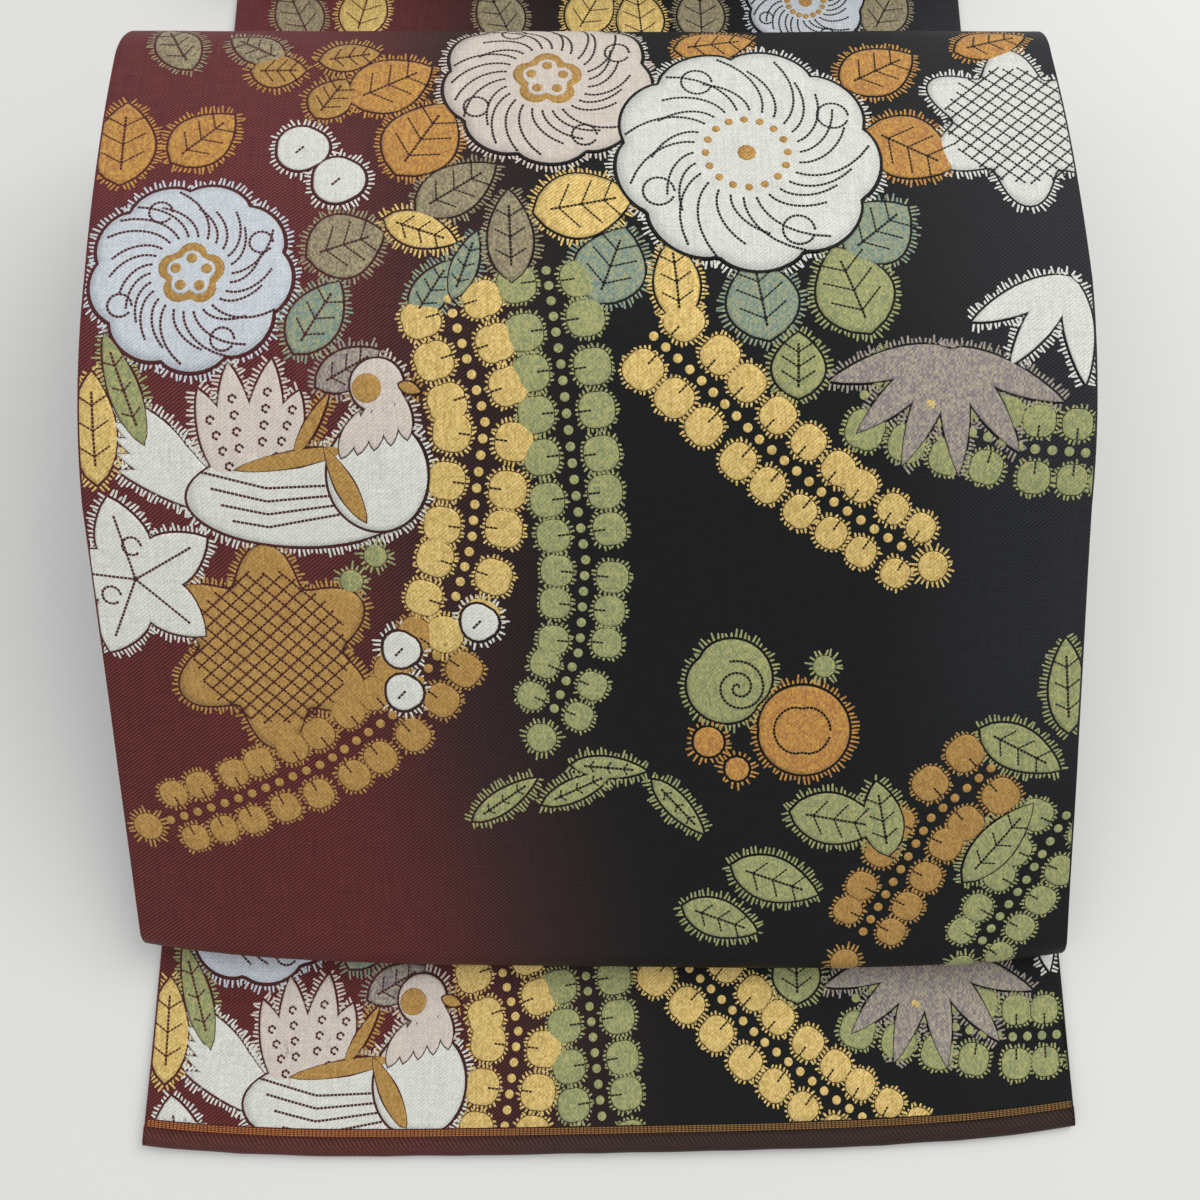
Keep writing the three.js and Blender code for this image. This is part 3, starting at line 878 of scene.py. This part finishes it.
def pattern():
    """One repeat of the figured design, in the order it is layered."""
    garland([(-43, 527), (-31, 490), (-36, 452), (-43, 432)], GOLD, 13, 12)
    garland([(-46, 420), (-62, 398), (-87, 380), (-113, 368), (-140, 357)], OCHRE, 12)
    garland([(-13, 536), (-8, 505), (-4, 472), (-1, 447), (-4, 418), (-14, 396)], GREEN)
    garland([(20, 515), (34, 502), (52, 484), (74, 466), (89, 456), (100, 449)], GOLD)
    garland([(84, 497), (113, 487), (134, 481), (160, 479)], GREEN)
    garland([(127, 378), (108, 362), (96, 340), (84, 318)], OCHRE)
    garland([(152, 360), (140, 338), (124, 314)], GREEN, 12)
    for values in LEAVES:
        row = dict(zip(LEAF_COLUMNS, values))
        leaf(**row)
    lattice_star(-101, 418, 31, OCHRE)
    lattice_star(139, 590, 29, WHITE)
    bellflower(-141, 440, 27, 1)
    for side, along in ((-90, 580), (-78, 568), (-60, 418), (-35, 427), (-60, 404)):
        patch(blob(side, along, 8.5 if along > 500 else 6, 3, 0.12), WHITE, 1, 0.8)
        stroke([(side - 2, along - 2), (side + 1, along + 1)], 1)
    for side, along in ((-74, 440), (-66, 448), (73, 413)):
        patch(blob(side, along, 3.6), GREEN)
    for side, along, radius in ((66, 392, 15), (36, 388, 5), (45, 379, 4), (104, 494, 3)):
        patch(blob(side, along, radius, 1, 0.1), ORANGE if radius > 3 else GOLD, 1, 0.6)
    patch(blob(43, 408, 14, 2, 0.2, 0.9), GREEN, 0, 0.6)
    spiral = np.linspace(0, 2.3 * TAU, 40)
    stroke(np.stack([46 + 0.62 * spiral * np.cos(spiral), 406 + 0.62 * spiral * np.sin(spiral)], -1))
    stroke(blob(66, 392, 9, 2, 0.2), 1)
    bamboo(110, 511, 38, PURPLE, (195, 222, 248, 275, 305, 335))
    bamboo(148, 534, 34, WHITE, (205, 235, 275), 1)
    waterfowl()
    rosette(-122, 535, 31, BLUE_WHITE, 1, True)
    rosette(-12, 608, 34, PINK_WHITE, 1, True)
    rosette(51, 578, 42, WHITE, 2, False)


def run_pattern():
    for side, along, thread in ((-128, 770, OLIVE), (-100, 772, GOLD), (-42, 770, OLIVE), (-3, 772, GOLD),
                                (18, 768, GOLD), (44, 770, OLIVE), (123, 772, OLIVE), (-75, 715, ORANGE),
                                (-20, 700, TEAL), (60, 705, GREEN), (120, 700, ORANGE), (-130, 705, GOLD)):
        leaf(side, along, 30, 20, chance.uniform(60, 120), thread)
    rosette(89, 776, 25, BLUE_WHITE, 1, False)
    rosette(10, 690, 26, WHITE, 1, True)


def weave_figures(name, line, spans, lift):
    """One joined mesh of the figures on one stretch, as (shift, low, high, design) spans."""
    for key in figures:
        figures[key].clear()
    for shift, low, high, draw in spans:
        view.update(shift=shift, low=low, high=high)
        draw()
    points = np.array(figures["points"])
    out = FACE_TOP + points[:, 2] + lift(points[:, 0], points[:, 1])
    placed = lay(line, points[:, 0], points[:, 1], out)
    piece = make_object(name, placed, figures["faces"], figure_cloth)
    set_vector(piece, "weave", np.stack([points[:, 0], points[:, 1], np.zeros(len(points))], -1))
    set_colour(piece, "tone", with_alpha(figures["tone"]))
    set_colour(piece, "fleck", figures["fleck"])
    set_number(piece, "lame", figures["lame"])
    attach(piece, "root")
    return piece


def slab(left, right, low, high, out, thread):
    add([(left, low, out), (right, low, out), (right, high, out), (left, high, out)], [(0, 1, 2, 3)], thread)


def border():
    """The narrow striped line near the end, four dotted stripes on a dark band."""
    for k in range(62):
        side = -HALF + 5 * k + 2.5
        glow = smoothstep(60, -120, side)
        warm = tuple(np.array((0.30, 0.15, 0.04)) * (1 - glow) + np.array((0.50, 0.17, 0.04)) * glow)
        slab(side - 2.5, side + 2.5, 6.2, 8.4, 0.06, None)
        for stripe in range(4):
            low = 6.35 + 0.55 * stripe
            for dash in range(4):
                left = side - 2.5 + 1.25 * dash
                slab(left, left + 0.95, low, low + 0.32, 0.14, warm)


PERIOD = 450.0                  # the flap repeats the drum's design this far on
PATTERN_TURN = DRUM[1] + 6      # where the design behind the drum starts
flap_spans = [(0, 6.1, 8.5, border), (-PERIOD, 8.8, FLAP, pattern)]
flap_figures = weave_figures("flap_figures", main, flap_spans, relief)
drum_figures = weave_figures("drum_figures", main, [(0, DRUM[0], PATTERN_TURN, pattern)], relief)
rear_figures = weave_figures("rear_figures", main, [(0, PATTERN_TURN, RUN_SPAN[1], run_pattern)], relief)
hand_span = (-HAND_SHIFT, HEM_TOP, HAND_LENGTH - 8, pattern)
hand_figures = weave_figures("hand_figures", hand_line, [hand_span], hand_relief)


# ---- How the pieces belong to the frame ------------------------------------------------------
ROOT = "root"
PIECES = [
    (face, "brocade", ("face_flap", "face_tuck", "face_drum", "face_rear", "face_run")),
    (back, "backing", ("back_flap", "back_tuck", "back_drum", "back_rear", "back_run")),
    (folded_face, "brocade", ("folded_rest",)),
    (folded_back, "backing", ("folded_rest",)),
    (hand_face, "brocade", ("face_hand",)),
    (hand_back, "backing", ("back_hand",)),
    (hem_flap, "plain_band", ("hem_flap",)),
    (hem_hand, "plain_band", ("hem_hand",)),
]
for piece, slot, nodes in PIECES:
    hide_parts(*nodes)
    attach(piece, ROOT)

# ---- Floor, light and camera -----------------------------------------------------------------
floor_material = bpy.data.materials.new("pale_floor")
floor_material.use_nodes = True
floor_shader = floor_material.node_tree.nodes["Principled BSDF"]
floor_shader.inputs["Base Color"].default_value = (0.80, 0.79, 0.765, 1)
floor_shader.inputs["Roughness"].default_value = 0.8
FLOOR_HALF = 6.0
FLOOR_DROP = 0.0003
floor_corners = ((-1, -1), (1, -1), (1, 1), (-1, 1))
floor_points = [(right * FLOOR_HALF, up * FLOOR_HALF, -FLOOR_DROP) for right, up in floor_corners]
floor = make_object("floor", floor_points, [(0, 1, 2, 3)], floor_material)


def soft_light(name, place, target, size, power, colour):
    data = bpy.data.lights.new(name, "AREA")
    data.shape = "SQUARE"
    data.size = size
    data.energy = power
    data.color = colour
    lamp = bpy.data.objects.new(name, data)
    lamp.location = place
    direction = np.array(target) - np.array(place)
    heading = math.atan2(direction[1], direction[0])
    pitch = math.atan2(math.hypot(direction[0], direction[1]), -direction[2])
    lamp.rotation_euler = (pitch, 0, heading - math.pi / 2)
    bpy.context.scene.collection.objects.link(lamp)


soft_light("window", (0.75, 0.45, 1.25), (0.0, -0.1, 0.0), 1.3, 13.0, (1.0, 0.985, 0.95))
soft_light("fill", (-0.9, -0.9, 1.4), (0.0, -0.1, 0.0), 1.6, 5.0, (0.95, 0.98, 1.0))
world = bpy.data.worlds.new("soft_room")
world.use_nodes = True
world.node_tree.nodes["Background"].inputs["Color"].default_value = (0.90, 0.92, 0.94, 1)
world.node_tree.nodes["Background"].inputs["Strength"].default_value = 0.62
bpy.context.scene.world = world
bpy.context.scene.view_settings.view_transform = "Standard"

CAMERA_AHEAD = 74.0             # ahead of the flap's end
CAMERA_HEIGHT = 435.0
CAMERA_TILT = 15.0
camera_data = bpy.data.cameras.new("camera")
camera_data.sensor_width = 36
camera_data.lens = 36.09
camera_data.clip_start = 0.01
camera = bpy.data.objects.new("camera", camera_data)
camera.location = (ORIGIN_X * MM, (ORIGIN_Y + CAMERA_AHEAD) * MM, CAMERA_HEIGHT * MM)
camera.rotation_euler = (math.radians(CAMERA_TILT), 0, 0)
bpy.context.scene.collection.objects.link(camera)
bpy.context.scene.camera = camera
